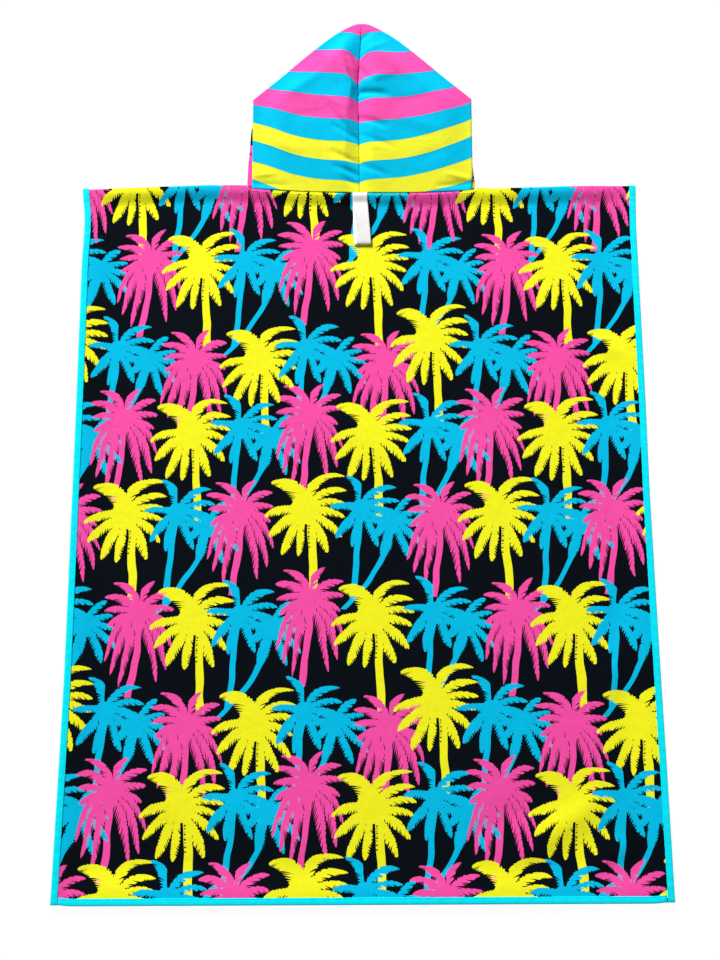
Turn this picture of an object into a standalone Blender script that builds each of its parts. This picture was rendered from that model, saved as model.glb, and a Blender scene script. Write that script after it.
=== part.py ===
"""Hooded bath poncho, laid out face down.

One cloth is folded at the shoulders, so that its front lies on the floor and its back lies
on the front. Tape is folded round the side edges and the two hems, the hood is spread above
the shoulders with its top turned under, and a hanging loop comes out of the neck seam.

Metres, +Z up, +Y from the hem to the hood, +X to the right of someone who stands at the hem.
The origin is on the floor, below the middle of the outline.
"""

import bpy
import numpy as np

MM = 0.001

# Driving dimensions
BODY_WIDTH = 0.800  # across the hems, over the tapes
BODY_LENGTH = 1.000  # from the hem's tape to the shoulder fold
HOOD_RISE = 0.263  # from the shoulder line up to the hood's peak
HOOD_CORNER = 0.1385  # from the shoulder line up to the hood's side corners
HOOD_HALF = 0.160  # from the hood's middle to each side edge
HOOD_MIDDLE = 0.0055  # its place across
CLOTH = 0.0012  # towelling
TAPE = 0.0010  # binding and loop tape
GAP = 0.0003  # between pieces that meet

# Neck
NECK_MIDDLE = 0.0035
NECK_HALF = 0.1655
NECK_CURVE = 2.5  # power of the scoops' outline: flat in the middle, turning up at the ends
BACK_SCOOP = 0.0065
FRONT_SCOOP = 0.070

# Tape folded round the edges
TAPE_COVER = 0.008
TAPE_CHAMFER = 0.0004
EDGE = GAP + TAPE  # from the cloth to the tape's outer face
FLAT_STRIP = 0.010  # the cloth is flat this far in from an edge

# Heights of the back panel's outer face
REST = 0.0034
AT_TAPE = 0.0067
ROLL_TOP = 0.0062
TAPE_ROLL_TOP = 0.0076
FOLD_ARC = 0.004  # depth of the shoulder fold's rounding
ROLL_RUN = 0.035  # how far below the fold its roll has flattened out
LIFT_RUN = 0.016  # how far from the tape the front panel is back on the floor
RISE_RUN = 0.040  # the same for the back panel, down to its resting height
ARC_STEPS = 6

# Hood
HOOD_FOLD = 0.007  # thickness of the folded slopes
HOOD_EDGE = 0.0055  # height of the side edges' outer face
PEAK_ROUNDING = 0.007
SLOPE = 0.90  # fall of the folded slopes for each metre out from the middle
SEAM_RUN = 0.060  # how far out the seam's wandering is felt
SLOPE_RUN = 0.035  # how far from the slopes the hood has its full height
SIDE_RUN = 0.045  # the same from the side edges
PUFF_RUN = 0.040  # how far from its crest the roll beside the seam has levelled out
FACE_EDGE_MIDDLE = 0.100  # height of the turned-under face edge at the seam
FACE_EDGE_TILT = 0.225  # its rise for each metre out from the middle
LEAST_TURN = 0.003  # shortest turned-under stretch, at the corners

# Hanging loop
LOOP_WIDTH = 0.021

Y_SHOULDER = (BODY_LENGTH - HOOD_RISE) / 2
HEM_DOWN = BODY_LENGTH - EDGE


def table(names, *rows):
    """Columns by name, from one row of millimetres for each section, fold or run."""
    return dict(zip(names.split(), np.array(rows).T * MM))


# How far the side edges pull in, at distances below the shoulder line.
SIDE_BOW = table(
    "down left right",
    (0, 1.8, 2.3),
    (40, 6.2, 3.5),
    (65, 6.9, 4.4),
    (110, 5.2, 4.2),
    (335, 5.9, 4.0),
    (460, 5.7, 4.9),
    (700, 5.4, 3.0),
    (830, 3.3, 1.4),
    (1000, 0.0, 0.0),
)

# How far the shoulder fold stands above the straight shoulder line.
SHOULDER_LINE = table(
    "x rise",
    (-400, -3.0),
    (-300, 1.0),
    (-215, 3.8),
    (-160, 3.0),
    (165, -1.5),
    (190, -4.0),
    (218, -3.0),
    (304, -0.4),
    (390, -0.8),
    (400, -2.4),
)

# Soft folds in the back panel: a ridge from one end to the other, its height and half width.
SOFT_FOLDS = table(
    "x0 down0 x1 down1 height width",
    (-330, 150, -250, 330, 1.5, 34),
    (150, 120, 330, 210, 1.4, 30),
    (310, 235, 375, 300, 2.0, 20),
    (-120, 300, 60, 420, 1.2, 45),
    (-345, 520, -230, 700, 1.4, 40),
    (360, 640, 300, 760, 2.0, 24),
    (80, 560, 190, 700, 1.2, 40),
    (180, 945, 325, 860, 2.2, 26),
    (270, 960, 345, 925, 1.8, 20),
    (-200, 860, -60, 930, 1.3, 34),
)

# The hood's seam wanders a little, from the neck to the peak.
HOOD_SEAM = table("up x", (-10, 0.2), (60, 0.2), (130, -1.0), (175, -0.9), (210, 1.7), (263, 5.0))

# How far each side edge of the striped cloth stands out from its straight line.
HOOD_SIDES = table("up left right", (-10, 0.0, -4.0), (8, 0.0, -1.5), (25, 0.0, 0.0))

# How far each side edge of the lining stands out from the striped cloth's.
LINING_SIDES = table(
    "up left right",
    (-10, 5.5, 2.2),
    (10, 5.2, 1.9),
    (36, 3.5, -0.5),
    (60, 0.5, -2.0),
    (75, -2.0, -2.5),
)

# The hood across its seam, at heights above the shoulder line: the seam's depth, where the
# roll on each side of it crests and how high, and the height further out.
HOOD_RELIEF = table(
    "up seam left_at left_top right_at right_top mid",
    (-10, 5.5, 26, 7.0, 24, 7.0, 6.6),
    (20, 6.0, 26, 10.0, 22, 10.0, 8.5),
    (60, 6.5, 24, 13.0, 20, 13.0, 11.0),
    (110, 7.0, 19, 15.0, 22, 15.0, 12.5),
    (160, 7.0, 15, 17.0, 25, 17.0, 12.5),
    (200, 7.0, 26, 19.0, 24, 17.5, 12.0),
    (235, 7.0, 20, 17.0, 17, 16.0, 11.0),
    (263, 7.0, 12, 10.0, 12, 10.0, 8.0),
)

# The loop's tape from the neck seam down, round its bend and back: the distance from the
# seam, the height of its middle above the cloth, and where it lies across.
LOOP = table(
    "along lift across",
    (0.5, 2.1, 1.0),
    (14, 2.2, 1.6),
    (34, 2.6, 2.9),
    (55, 3.3, 4.6),
    (68, 4.0, 5.6),
    (75, 4.0, 6.0),
    (78.6, 3.3, 6.2),
    (79.8, 2.2, 5.2),
    (78.0, 1.2, 3.4),
    (74, 0.8, 2.4),
    (55, 0.8, 1.8),
    (34, 0.8, 1.4),
    (14, 0.8, 1.2),
    (0.5, 0.8, 1.0),
)

MATERIALS = {  # colour (linear), roughness
    "print_towelling": ((0.010, 0.012, 0.018, 1.0), 0.9),
    "striped_towelling": ((0.0, 0.62, 0.92, 1.0), 0.85),
    "binding_tape": ((0.0, 0.85, 1.0, 1.0), 0.8),
    "loop_tape": ((0.90, 0.89, 0.86, 1.0), 0.75),
}


def smooth(t):
    """0 up to t = 0 and 1 from t = 1, level at both ends."""
    t = np.clip(t, 0.0, 1.0)
    return t * t * (3.0 - 2.0 * t)


def look(column, columns, at):
    """A table's column, read at places along its first column."""
    along = next(iter(columns.values()))
    return np.interp(at, along, columns[column])


def finish(obj, material_name):
    """Gives an object its material and smooth shading, and puts it in the scene."""
    material = bpy.data.materials.get(material_name)
    if material is None:
        colour, roughness = MATERIALS[material_name]
        material = bpy.data.materials.new(material_name)
        material.use_nodes = True
        shader = material.node_tree.nodes["Principled BSDF"]
        shader.inputs["Base Color"].default_value = colour
        shader.inputs["Roughness"].default_value = roughness
        shader.inputs["Metallic"].default_value = 0.0
    obj.data.materials.append(material)
    obj.data.shade_smooth()
    bpy.context.scene.collection.objects.link(obj)
    return obj


def new_object(name, points, faces):
    """An object from an array of points and a list of faces; unused points are left out."""
    used = sorted({corner for face in faces for corner in face})
    place = {corner: index for index, corner in enumerate(used)}
    mesh = bpy.data.meshes.new(name)
    mesh.from_pydata(
        points.reshape(-1, 3)[used].tolist(),
        [],
        [[place[corner] for corner in face] for face in faces],
    )
    return bpy.data.objects.new(name, mesh)


def grid_faces(rows, columns, kept=None, flipped=False):
    """The quads of a grid of points, those that kept[row, column] marks when it is given."""
    faces = []
    for row in range(rows - 1):
        for column in range(columns - 1):
            if kept is not None and not kept[row, column]:
                continue
            corner = row * columns + column
            face = [corner, corner + columns, corner + columns + 1, corner + 1]
            faces.append(face[::-1] if flipped else face)
    return faces


def wall(name, points, material_name, kept=None, flipped=False):
    """A cloth wall: a grid of points on its outer face, thickened inwards."""
    faces = grid_faces(points.shape[0], points.shape[1], kept, flipped)
    obj = new_object(name, points, faces)
    solidify = obj.modifiers.new("Cloth", "SOLIDIFY")
    solidify.thickness = CLOTH
    solidify.offset = -1.0
    return finish(obj, material_name)


def slab(name, top, bottom, material_name):
    """A closed body between an upper and a lower grid of points, columns running along +X."""
    rows, columns = top.shape[:2]
    under = rows * columns
    faces = grid_faces(rows, columns, flipped=True)
    faces += [[corner + under for corner in face[::-1]] for face in faces]
    last_row = (rows - 1) * columns
    rim = list(range(columns))
    rim += [row * columns + columns - 1 for row in range(1, rows)]
    rim += [last_row + column for column in range(columns - 2, -1, -1)]
    rim += [row * columns for row in range(rows - 2, 0, -1)]
    for here, there in zip(rim, rim[1:] + rim[:1]):
        faces.append([here + under, there + under, there, here])
    return finish(new_object(name, np.concatenate([top, bottom]), faces), material_name)


def sweep(name, rings, material_name):
    """A closed body through rings of points, which run counterclockwise seen along the sweep."""
    count, corners = rings.shape[:2]
    faces = [list(range(corners))]
    for ring in range(count - 1):
        for corner in range(corners):
            after = (corner + 1) % corners
            here = ring * corners
            there = here + corners
            faces.append([here + after, here + corner, there + corner, there + after])
    faces.append([(count - 1) * corners + corner for corner in range(corners - 1, -1, -1)])
    return finish(new_object(name, rings, faces), material_name)


# ---- Body -------------------------------------------------------------------------------

FRONT_ROWS = np.array(
    [HEM_DOWN, HEM_DOWN - FLAT_STRIP, HEM_DOWN - 0.026]
    + [0.92, 0.80, 0.65, 0.50, 0.36, 0.25, 0.19, 0.15, 0.11, 0.08, 0.05, 0.025, FOLD_ARC]
)
BACK_ROWS = np.array(
    [FOLD_ARC, 0.010, 0.020, 0.035, 0.055, 0.080, 0.11, 0.15, 0.19, 0.235, 0.28, 0.33, 0.39]
    + [0.45, 0.51, 0.57, 0.63, 0.68, 0.73, 0.78, 0.83, 0.87, 0.90, 0.93, 0.955]
    + [HEM_DOWN - 0.026, HEM_DOWN - FLAT_STRIP, HEM_DOWN]
)
EDGE_COLUMNS = np.array([0.0, FLAT_STRIP, 0.026])
NECK_LEFT = NECK_MIDDLE - NECK_HALF
NECK_RIGHT = NECK_MIDDLE + NECK_HALF
INNER_COLUMNS = np.array(
    [-0.335, -0.29, -0.245, -0.20, NECK_LEFT, -0.14, -0.11, -0.075, -0.04, -0.012]
    + [0.022, 0.05, 0.085, 0.12, 0.147, NECK_RIGHT, 0.205, 0.25, 0.295, 0.335]
)
REMAP_FRONT = 0.20  # the front scoop bends the rows this far below the shoulder
REMAP_BACK = 0.060
HEM_CORNER_RISE = 0.002
HEM_CORNER = 0.030


def body_x(down):
    """The x of every column, in rows at distances below the shoulder line."""
    half = BODY_WIDTH / 2 - EDGE
    left = (look("left", SIDE_BOW, down) - half)[:, None]
    right = (half - look("right", SIDE_BOW, down))[:, None]
    inner = np.broadcast_to(INNER_COLUMNS, (len(down), len(INNER_COLUMNS)))
    return np.hstack([left + EDGE_COLUMNS, inner, right - EDGE_COLUMNS[::-1]])


def neck_outline(x):
    """1 in the middle of the neck, 0 from its ends outwards."""
    return 1.0 - np.clip(np.abs(x - NECK_MIDDLE) / NECK_HALF, 0.0, 1.0) ** NECK_CURVE


def scooped(down, x, scoop, run):
    """Distances below the shoulder line, pushed down by a scoop that fades out over a run."""
    return down + scoop * neck_outline(x) * (1.0 - smooth((down - FOLD_ARC) / run))


def from_edge(down, x):
    """Distance in from the nearest cut edge, at the sides or at the hem."""
    edges = body_x(down[:, 0])
    side = np.minimum(x - edges[:, :1], edges[:, -1:] - x)
    return np.minimum(side, HEM_DOWN - down)


def soft_folds(down, x):
    """Height of the soft folds: each is a bell across a segment, added up."""
    total = np.zeros_like(x)
    for x0, down0, x1, down1, height, width in zip(*SOFT_FOLDS.values()):
        run_x, run_down = x1 - x0, down1 - down0
        along = ((x - x0) * run_x + (down - down0) * run_down) / (run_x**2 + run_down**2)
        along = np.clip(along, 0.0, 1.0)
        away = np.hypot(x - x0 - along * run_x, down - down0 - along * run_down)
        total += height * np.exp(-((away / width) ** 2))
    return total


def front_face(down, x):
    """Height of the front panel's outer face: on the floor, lifted by the tape at its edges."""
    return EDGE * (1.0 - smooth((from_edge(down, x) - FLAT_STRIP) / LIFT_RUN))


def back_face(down, x):
    """Height of the back panel's outer face."""
    edge = from_edge(down, x) - FLAT_STRIP
    at_tape = 1.0 - smooth(edge / RISE_RUN)
    roll = 1.0 - smooth((down - FOLD_ARC) / ROLL_RUN)
    resting = REST + (AT_TAPE - REST) * at_tape
    rolled = ROLL_TOP + (TAPE_ROLL_TOP - ROLL_TOP) * at_tape
    folds = soft_folds(down, x) * (1.0 - at_tape) * (1.0 - roll)
    return resting + (rolled - resting) * roll + folds


def hem_rise(x):
    """How far the hem turns up at its corners."""
    return HEM_CORNER_RISE * smooth((np.abs(x) - BODY_WIDTH / 2 + HEM_CORNER) / HEM_CORNER)


def body_grid():
    """The outer face of the body: rows from the front hem over the shoulders to the back hem."""
    angles = np.linspace(-90.0, 90.0, ARC_STEPS + 1)[1:-1, None] * np.pi / 180.0
    front_down, back_down = FRONT_ROWS[:, None], BACK_ROWS[:, None]
    front_x, back_x = body_x(FRONT_ROWS), body_x(BACK_ROWS)
    arc_x = body_x(np.full(len(angles), FOLD_ARC))
    front_z = front_face(front_down, front_x)
    back_z = back_face(back_down, back_x)
    middle = (back_z[0] + front_z[-1]) / 2
    half = (back_z[0] - front_z[-1]) / 2
    arc_z = middle + half * np.sin(angles)

    front_down = scooped(front_down, front_x, FRONT_SCOOP, REMAP_FRONT)
    back_down = scooped(back_down, back_x, BACK_SCOOP, REMAP_BACK)
    arc_down = FOLD_ARC - FOLD_ARC * np.cos(angles) * np.ones_like(arc_x)

    x = np.vstack([front_x, arc_x, back_x])
    down = np.vstack([front_down, arc_down, back_down])
    z = np.vstack([front_z, arc_z, back_z])
    level_x = np.clip(x, x[:, :1] + FLAT_STRIP, x[:, -1:] - FLAT_STRIP)
    rise = look("rise", SHOULDER_LINE, level_x) * (1.0 - smooth(down / (BODY_LENGTH / 4)))
    turned_up = hem_rise(level_x) * smooth((down - HEM_DOWN) / HEM_CORNER + 1.0)
    return np.stack([x, Y_SHOULDER - down + rise + turned_up, z], axis=2)


FIRST_ARC = len(FRONT_ROWS) - 1  # the last row of the front panel
FIRST_BACK = FIRST_ARC + ARC_STEPS  # the first row of the back panel


def make_body(grid):
    """The towel itself, with its neck hole: the fold is left out between the neck's ends."""
    rows, columns = grid.shape[:2]
    kept = np.ones((rows - 1, columns - 1), dtype=bool)
    middle_x = (grid[FIRST_BACK, :-1, 0] + grid[FIRST_BACK, 1:, 0]) / 2
    inside_neck = np.abs(middle_x - NECK_MIDDLE) < NECK_HALF
    kept[FIRST_ARC:FIRST_BACK, inside_neck] = False
    return wall("body", grid, "print_towelling", kept)


# ---- Tape round the edges ---------------------------------------------------------------


def tape_section():
    """Corners of the folded tape: outwards from the cloth's edge, and up from its outer face."""
    outer = GAP + TAPE
    inner = -CLOTH - GAP
    return np.array(
        [
            (-TAPE_COVER, GAP),
            (-TAPE_COVER, outer),
            (outer - TAPE_CHAMFER, outer),
            (outer, outer - TAPE_CHAMFER),
            (outer, inner - TAPE + TAPE_CHAMFER),
            (outer - TAPE_CHAMFER, inner - TAPE),
            (-TAPE_COVER, inner - TAPE),
            (-TAPE_COVER, inner),
            (GAP, inner),
            (GAP, GAP),
        ]
    )


def tape_rings(edge, outwards, upwards):
    """The tape's section at each point of a cut edge, in the directions given there."""
    section = tape_section()
    across = section[None, :, :1] * outwards[:, None, :]
    return edge[:, None, :] + across + section[None, :, 1:] * upwards[:, None, :]


def path_normals(path):
    """Normals of a path in the YZ plane, to the left of its direction seen along +X."""
    legs = np.diff(path[:, 1:], axis=0)
    legs /= np.linalg.norm(legs, axis=1, keepdims=True)
    turned = np.vstack([legs[:1], legs[:-1] + legs[1:], legs[-1:]])
    turned /= np.linalg.norm(turned, axis=1, keepdims=True)
    return np.column_stack([np.zeros(len(path)), turned[:, 1], -turned[:, 0]])


def make_side_tape(name, edge, side):
    """Tape along one whole side, over the shoulder fold and past both hems' tapes."""
    past_front = edge[0] - (0.0, EDGE, 0.0)
    past_back = edge[-1] - (0.0, EDGE, 0.0)
    path = np.vstack([past_front, edge, past_back])
    outwards = np.tile((side, 0.0, 0.0), (len(path), 1))
    rings = tape_rings(path, outwards, path_normals(path))
    return sweep(name, rings[:, :: int(side)], "binding_tape")


def make_hem_tape(name, hem, upwards):
    """Tape along one hem, between the side tapes."""
    reach = TAPE_COVER + GAP
    inner = hem[1:-1]
    first = hem[0] + (reach, 0.0, 0.0)
    last = hem[-1] - (reach, 0.0, 0.0)
    for end, neighbour in ((first, inner[0]), (last, inner[-1])):
        end[1] += (neighbour[1] - end[1]) * reach / FLAT_STRIP
    path = np.vstack([first, inner, last])
    outwards = np.tile((0.0, -1.0, 0.0), (len(path), 1))
    rings = tape_rings(path, outwards, np.tile((0.0, 0.0, upwards), (len(path), 1)))
    return sweep(name, rings[:, :: -int(upwards)], "binding_tape")


# ---- Hood -------------------------------------------------------------------------------

HOOD_COLUMNS = np.array([0, 2.5, 7, 13, 21, 32, 48, 68, 90, 112, 132, 148, 160]) * MM
HOOD_ROWS = np.array([0, 0.03, 0.08, 0.16, 0.27, 0.39, 0.51, 0.63, 0.74, 0.83, 0.91, 0.96, 1.0])
TURNED_ROWS = np.array([0.3, 0.65, 1.0])
SLOPE_COSINE = 1.0 / np.hypot(1.0, SLOPE)


def hood_top(out):
    """Height of the folded slopes, out from the seam: straight, with a rounded peak."""

    def rounded(distance):
        slope = HOOD_CORNER + (HOOD_HALF - distance) * SLOPE
        peak = np.full_like(slope, HOOD_RISE)
        return -PEAK_ROUNDING * np.logaddexp(-slope / PEAK_ROUNDING, -peak / PEAK_ROUNDING)

    return rounded(out) + HOOD_RISE - rounded(np.zeros(1))


def hood_base(out, side, neckline):
    """Height of the neck seam above the straight shoulder line, along the body's own edge."""
    x = hood_x(out, HOOD_SEAM["up"][:1], side)
    return np.interp(x, neckline[:, 0], neckline[:, 1]) + GAP - Y_SHOULDER


def face_edge(out):
    """Height of the turned-under face edge, out from the seam."""
    return np.minimum(FACE_EDGE_MIDDLE + FACE_EDGE_TILT * out, hood_top(out) - LEAST_TURN)


def hood_x(out, up, side, sides=HOOD_SIDES):
    """The x of a point: the seam's own line at out = 0, even on both sides further out."""
    which = "left" if side < 0 else "right"
    reach = np.maximum(out, GAP / 2) + look(which, sides, up) * out / HOOD_HALF
    wander = (look("x", HOOD_SEAM, up) - HOOD_MIDDLE) * (1.0 - smooth(out / SEAM_RUN))
    return HOOD_MIDDLE + side * reach + wander


def hood_face(out, up, side):
    """Height of the hood's upper face.

    A quarter circle climbs out of the seam to the crest beside it, an even fall follows to
    the middle height, and the sides and slopes come down to their own edges.
    """
    which = "left" if side < 0 else "right"
    seam = look("seam", HOOD_RELIEF, up)
    crest_at = look(which + "_at", HOOD_RELIEF, up)
    crest = look(which + "_top", HOOD_RELIEF, up)
    mid = look("mid", HOOD_RELIEF, up)
    climb = np.sqrt(1.0 - (1.0 - np.minimum(out / crest_at, 1.0)) ** 2)
    near = seam + (crest - seam) * climb
    far = crest + (mid - crest) * smooth((out - crest_at) / PUFF_RUN)
    height = np.where(out < crest_at, near, far)
    from_side = smooth((HOOD_HALF - out) / SIDE_RUN)
    height = HOOD_EDGE + (height - HOOD_EDGE) * from_side
    from_slope = smooth((hood_top(out) - up) * SLOPE_COSINE / SLOPE_RUN)
    return HOOD_FOLD + (height - HOOD_FOLD) * from_slope


def hood_grid(side, neckline):
    """The outer face of one half: up from the neck, over the slope and back underneath."""
    out = HOOD_COLUMNS[None, :]
    base = hood_base(out, side, neckline)
    fold = hood_top(out) - FOLD_ARC
    up = base + (fold - base) * HOOD_ROWS[:, None]
    angles = np.linspace(90.0, -90.0, ARC_STEPS + 1)[1:, None] * np.pi / 180.0
    arc_up = fold + FOLD_ARC * np.cos(angles)
    arc_z = HOOD_FOLD / 2 * (1.0 + np.sin(angles)) * np.ones_like(arc_up)
    turned_up = fold + (face_edge(out) - fold) * TURNED_ROWS[:, None]

    ups = np.vstack([up, arc_up, turned_up])
    upper_z = hood_face(out, up, side)
    z = np.vstack([upper_z, arc_z, np.zeros_like(turned_up)])
    return np.stack([hood_x(out, ups, side), Y_SHOULDER + ups, z], axis=2)


LINING_COLUMNS = np.array([0, 4, 8, 14, 22, 36, 54, 76, 98, 120, 138, 150, 156, 160]) * MM
LINING_LOW_ROWS = np.array([0, 0.12, 0.3, 0.5, 0.75, 1.0])
LINING_HIGH_ROWS = np.array([0, 0.2, 0.45, 0.7, 0.88, 1.0])
LINING_RIM = 0.0016  # thickness at the lining's rounded edge
LINING_SHARE = 0.70  # how much of the striped cloth's swell the layers below it share
LINING_SHIFT = 0.006  # they swell this much further out from the seam
LINING_ROUNDING = 0.008
STEP = 0.0004


def lining_side(side, neckline):
    """One half of the hidden layers: the points of its upper and its lower face."""
    out = LINING_COLUMNS[None, :]
    base = hood_base(out, side, neckline)
    end = hood_top(out) - FOLD_ARC - TAPE
    step_at = np.minimum(face_edge(out) - STEP, end - 2 * LEAST_TURN)
    low = base + (step_at - STEP - base) * LINING_LOW_ROWS[:, None]
    high = step_at + (end - step_at) * LINING_HIGH_ROWS[:, None]
    up = np.vstack([low, high])

    upper = hood_face(out, up, side)
    shifted = hood_face(np.maximum(out - LINING_SHIFT, 0.0), up, side)
    seam = look("seam", HOOD_RELIEF, up)
    under_seam = seam - CLOTH - 2 * GAP
    top = np.minimum(under_seam + LINING_SHARE * (shifted - seam), upper - CLOTH - 2 * GAP)
    floor = np.vstack([np.zeros_like(low), np.full_like(high, CLOTH + 2 * GAP)])

    to_side = (HOOD_HALF - out) / LINING_ROUNDING
    to_slope = (end - up) * SLOPE_COSINE / LINING_ROUNDING
    roundness = np.sqrt(np.clip(np.minimum(to_side, to_slope), 0.0, 1.0))
    top = floor + LINING_RIM + (np.maximum(top - floor - LINING_RIM, 0.0)) * roundness

    x = hood_x(out, up, side, LINING_SIDES)
    y = Y_SHOULDER + up
    return np.stack([x, y, top], axis=2), np.stack([x, y, floor], axis=2)


def make_lining(neckline):
    """The hood's hidden layers, as one rounded body with a step at the turned-under edge."""
    left_top, left_floor = lining_side(-1.0, neckline)
    right_top, right_floor = lining_side(1.0, neckline)
    top = np.concatenate([left_top[:, :0:-1], right_top], axis=1)
    floor = np.concatenate([left_floor[:, :0:-1], right_floor], axis=1)
    return slab("hood_lining", top, floor, "print_towelling")


# ---- Hanging loop -----------------------------------------------------------------------


def make_loop(grid):
    """Doubled tape on the back panel, each ring a flat section square to the loop's path."""
    back = grid[FIRST_BACK:]
    columns = np.abs(back[0, :, 0] - NECK_MIDDLE) < LOOP_WIDTH
    below = back[:, columns].mean(axis=1)
    seam_y = below[0, 1]
    y = seam_y - LOOP["along"]
    cloth = np.interp(-y, -below[:, 1], below[:, 2])
    path = np.column_stack([LOOP["across"], y, cloth + LOOP["lift"]])
    normals = path_normals(path) * TAPE / 2
    half = np.array((LOOP_WIDTH / 2, 0.0, 0.0))
    rings = [path - half - normals, path - half + normals, path + half + normals]
    rings.append(path + half - normals)
    return sweep("hanging_loop", np.stack(rings, axis=1), "loop_tape")


def main():
    for old in list(bpy.data.objects):
        bpy.data.objects.remove(old)
    grid = body_grid()
    make_body(grid)
    make_side_tape("binding_side_left", grid[:, 0], -1.0)
    make_side_tape("binding_side_right", grid[:, -1], 1.0)
    make_hem_tape("binding_hem_front", grid[0], -1.0)
    make_hem_tape("binding_hem_back", grid[-1], 1.0)
    neckline = grid[FIRST_BACK, :, :2]
    wall("hood_left", hood_grid(-1.0, neckline), "striped_towelling")
    wall("hood_right", hood_grid(1.0, neckline), "striped_towelling", flipped=True)
    make_lining(neckline)
    make_loop(grid)


main()
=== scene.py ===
# %% [markdown]
# # A hooded bath poncho, laid out face down
#
# One long towel is folded at the shoulders, taped round its edges and joined to a striped
# hood. This lesson dresses its plain solids in cloth. Every piece is a surface worked out
# with numpy, and every finish is made of shader nodes, so nothing is read from a picture.
#
# The solids give the frame: metres, +Y from the hem to the hood, +Z up, the floor at zero.

# %% The frame
from functools import partial

import bpy
import numpy as np
from mathutils import Matrix


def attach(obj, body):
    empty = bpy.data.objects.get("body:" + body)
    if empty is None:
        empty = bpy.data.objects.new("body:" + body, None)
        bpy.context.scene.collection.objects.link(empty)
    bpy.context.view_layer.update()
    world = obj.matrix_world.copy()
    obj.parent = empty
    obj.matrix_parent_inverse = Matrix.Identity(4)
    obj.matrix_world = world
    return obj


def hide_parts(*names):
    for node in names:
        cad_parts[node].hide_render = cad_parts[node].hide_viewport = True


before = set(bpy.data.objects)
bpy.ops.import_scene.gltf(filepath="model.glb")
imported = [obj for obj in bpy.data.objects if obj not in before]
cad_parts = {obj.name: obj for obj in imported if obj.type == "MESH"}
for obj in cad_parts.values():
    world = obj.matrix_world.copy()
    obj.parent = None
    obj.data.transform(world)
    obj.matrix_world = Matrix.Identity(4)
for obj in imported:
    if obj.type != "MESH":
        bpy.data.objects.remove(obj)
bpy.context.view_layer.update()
MM = 0.001
print("solids to dress:", ", ".join(sorted(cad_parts)))

# %% [markdown]
# ## View, floor and light
#
# The garment is seen from above its hem, tilted about 15 degrees from straight down. The
# floor is a lit table of milk glass, so that no hard shadow falls on it. Low light comes from
# beyond the hood and a little from the left, so every slope that faces the hem is darker:
# that is what shows the folds of flat cloth.

# %% Camera
CAMERA_PLACE = (-0.0008, -0.6277, 2.1141)
CAMERA_TILT = 0.25911  # radians from straight down, towards the hood
CAMERA_ROLL = -0.00463
LENS = 59.70  # mm, for a 36 mm sensor along the picture's long side

camera = bpy.data.objects.new("camera", bpy.data.cameras.new("camera"))
camera.data.lens = LENS
camera.matrix_world = (
    Matrix.Translation(CAMERA_PLACE)
    @ Matrix.Rotation(CAMERA_TILT, 4, "X")
    @ Matrix.Rotation(CAMERA_ROLL, 4, "Z")
)
bpy.context.scene.collection.objects.link(camera)
bpy.context.scene.camera = camera

# %% Colours
def srgb(text):
    """The linear colour of an sRGB hex value, by the standard's curve."""
    value = np.array([int(text[place : place + 2], 16) for place in (1, 3, 5)]) / 255.0
    curved = ((value + 0.055) / 1.055) ** 2.4
    return (*np.where(value <= 0.04045, value / 12.92, curved).tolist(), 1.0)


# %% Nodes
SIGNS = {"+": "ADD", "-": "SUBTRACT", "*": "MULTIPLY", "/": "DIVIDE", "*+": "MULTIPLY_ADD"}
SIGNS |= {"<": "LESS_THAN", ">": "GREATER_THAN"}


def add_node(tree, kind, *inputs, out=0, **more):
    """Adds a node and returns one of its outputs.

    The kind is the node's type, with its operation after a dot, or just an operation or a
    sign for a Math node. Inputs are links or values for its sockets in order. A name with
    a capital is a socket, any other a setting, and steps are a ramp's places and colours.
    """
    kind = SIGNS.get(kind, kind)
    kind, _, operation = ("Math." + kind if kind.isupper() else kind).partition(".")
    made = tree.nodes.new("ShaderNode" + kind)
    if operation:
        made.operation = operation
    sockets = list(zip(made.inputs, inputs))
    for name, value in more.items():
        if name == "steps":
            ramp = made.color_ramp
            ramp.interpolation = "CONSTANT"
            while len(ramp.elements) < len(value):
                ramp.elements.new(1.0)
            for element, (position, colour) in zip(ramp.elements, value):
                element.position = position
                element.color = colour
        elif name[0].isupper():
            fits = [s for s in made.inputs if name in (s.name.replace(" ", "_"), s.identifier)]
            sockets.append((fits[0], value))
        else:
            setattr(made, name, value)
    for socket, value in sockets:
        if isinstance(value, bpy.types.NodeSocket):
            tree.links.new(value, socket)
        else:
            socket.default_value = value
    return made.outputs[out]


def new_material(name):
    """An empty material, its node adder and its output's surface socket."""
    material = bpy.data.materials.new(name)
    material.use_nodes = True
    material.node_tree.nodes.clear()
    node = partial(add_node, material.node_tree)
    surface = material.node_tree.nodes.new("ShaderNodeOutputMaterial").inputs["Surface"]

    def wear(shader):
        material.node_tree.links.new(shader, surface)
        return material

    return node, wear


# %% Floor
FLOOR_GLOW = 0.96
FLOOR_HALF = 30.0
FLOOR_DROP = 0.0005  # it lies just below the cloth

node, wear = new_material("lit_milk_glass")
board = node("BsdfDiffuse", srgb("#484848"))
glow = node("Emission", srgb("#FFFFFF"), Strength=FLOOR_GLOW)
floor_mesh = bpy.data.meshes.new("floor")
floor_corners = np.array([(-1, -1, 0), (1, -1, 0), (1, 1, 0), (-1, 1, 0)]) * FLOOR_HALF
floor_mesh.from_pydata(floor_corners.tolist(), [], [(0, 1, 2, 3)])
floor_mesh.materials.append(wear(node("AddShader", board, glow)))
floor = bpy.data.objects.new("floor", floor_mesh)
floor.location.z = -FLOOR_DROP
bpy.context.scene.collection.objects.link(floor)

# %% Light
SKY = 0.17
KEY_PLACE = (-3.0, 7.4, 4.8)
KEY_SIZE = 2.4
KEY_POWER = 1460.0

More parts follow.
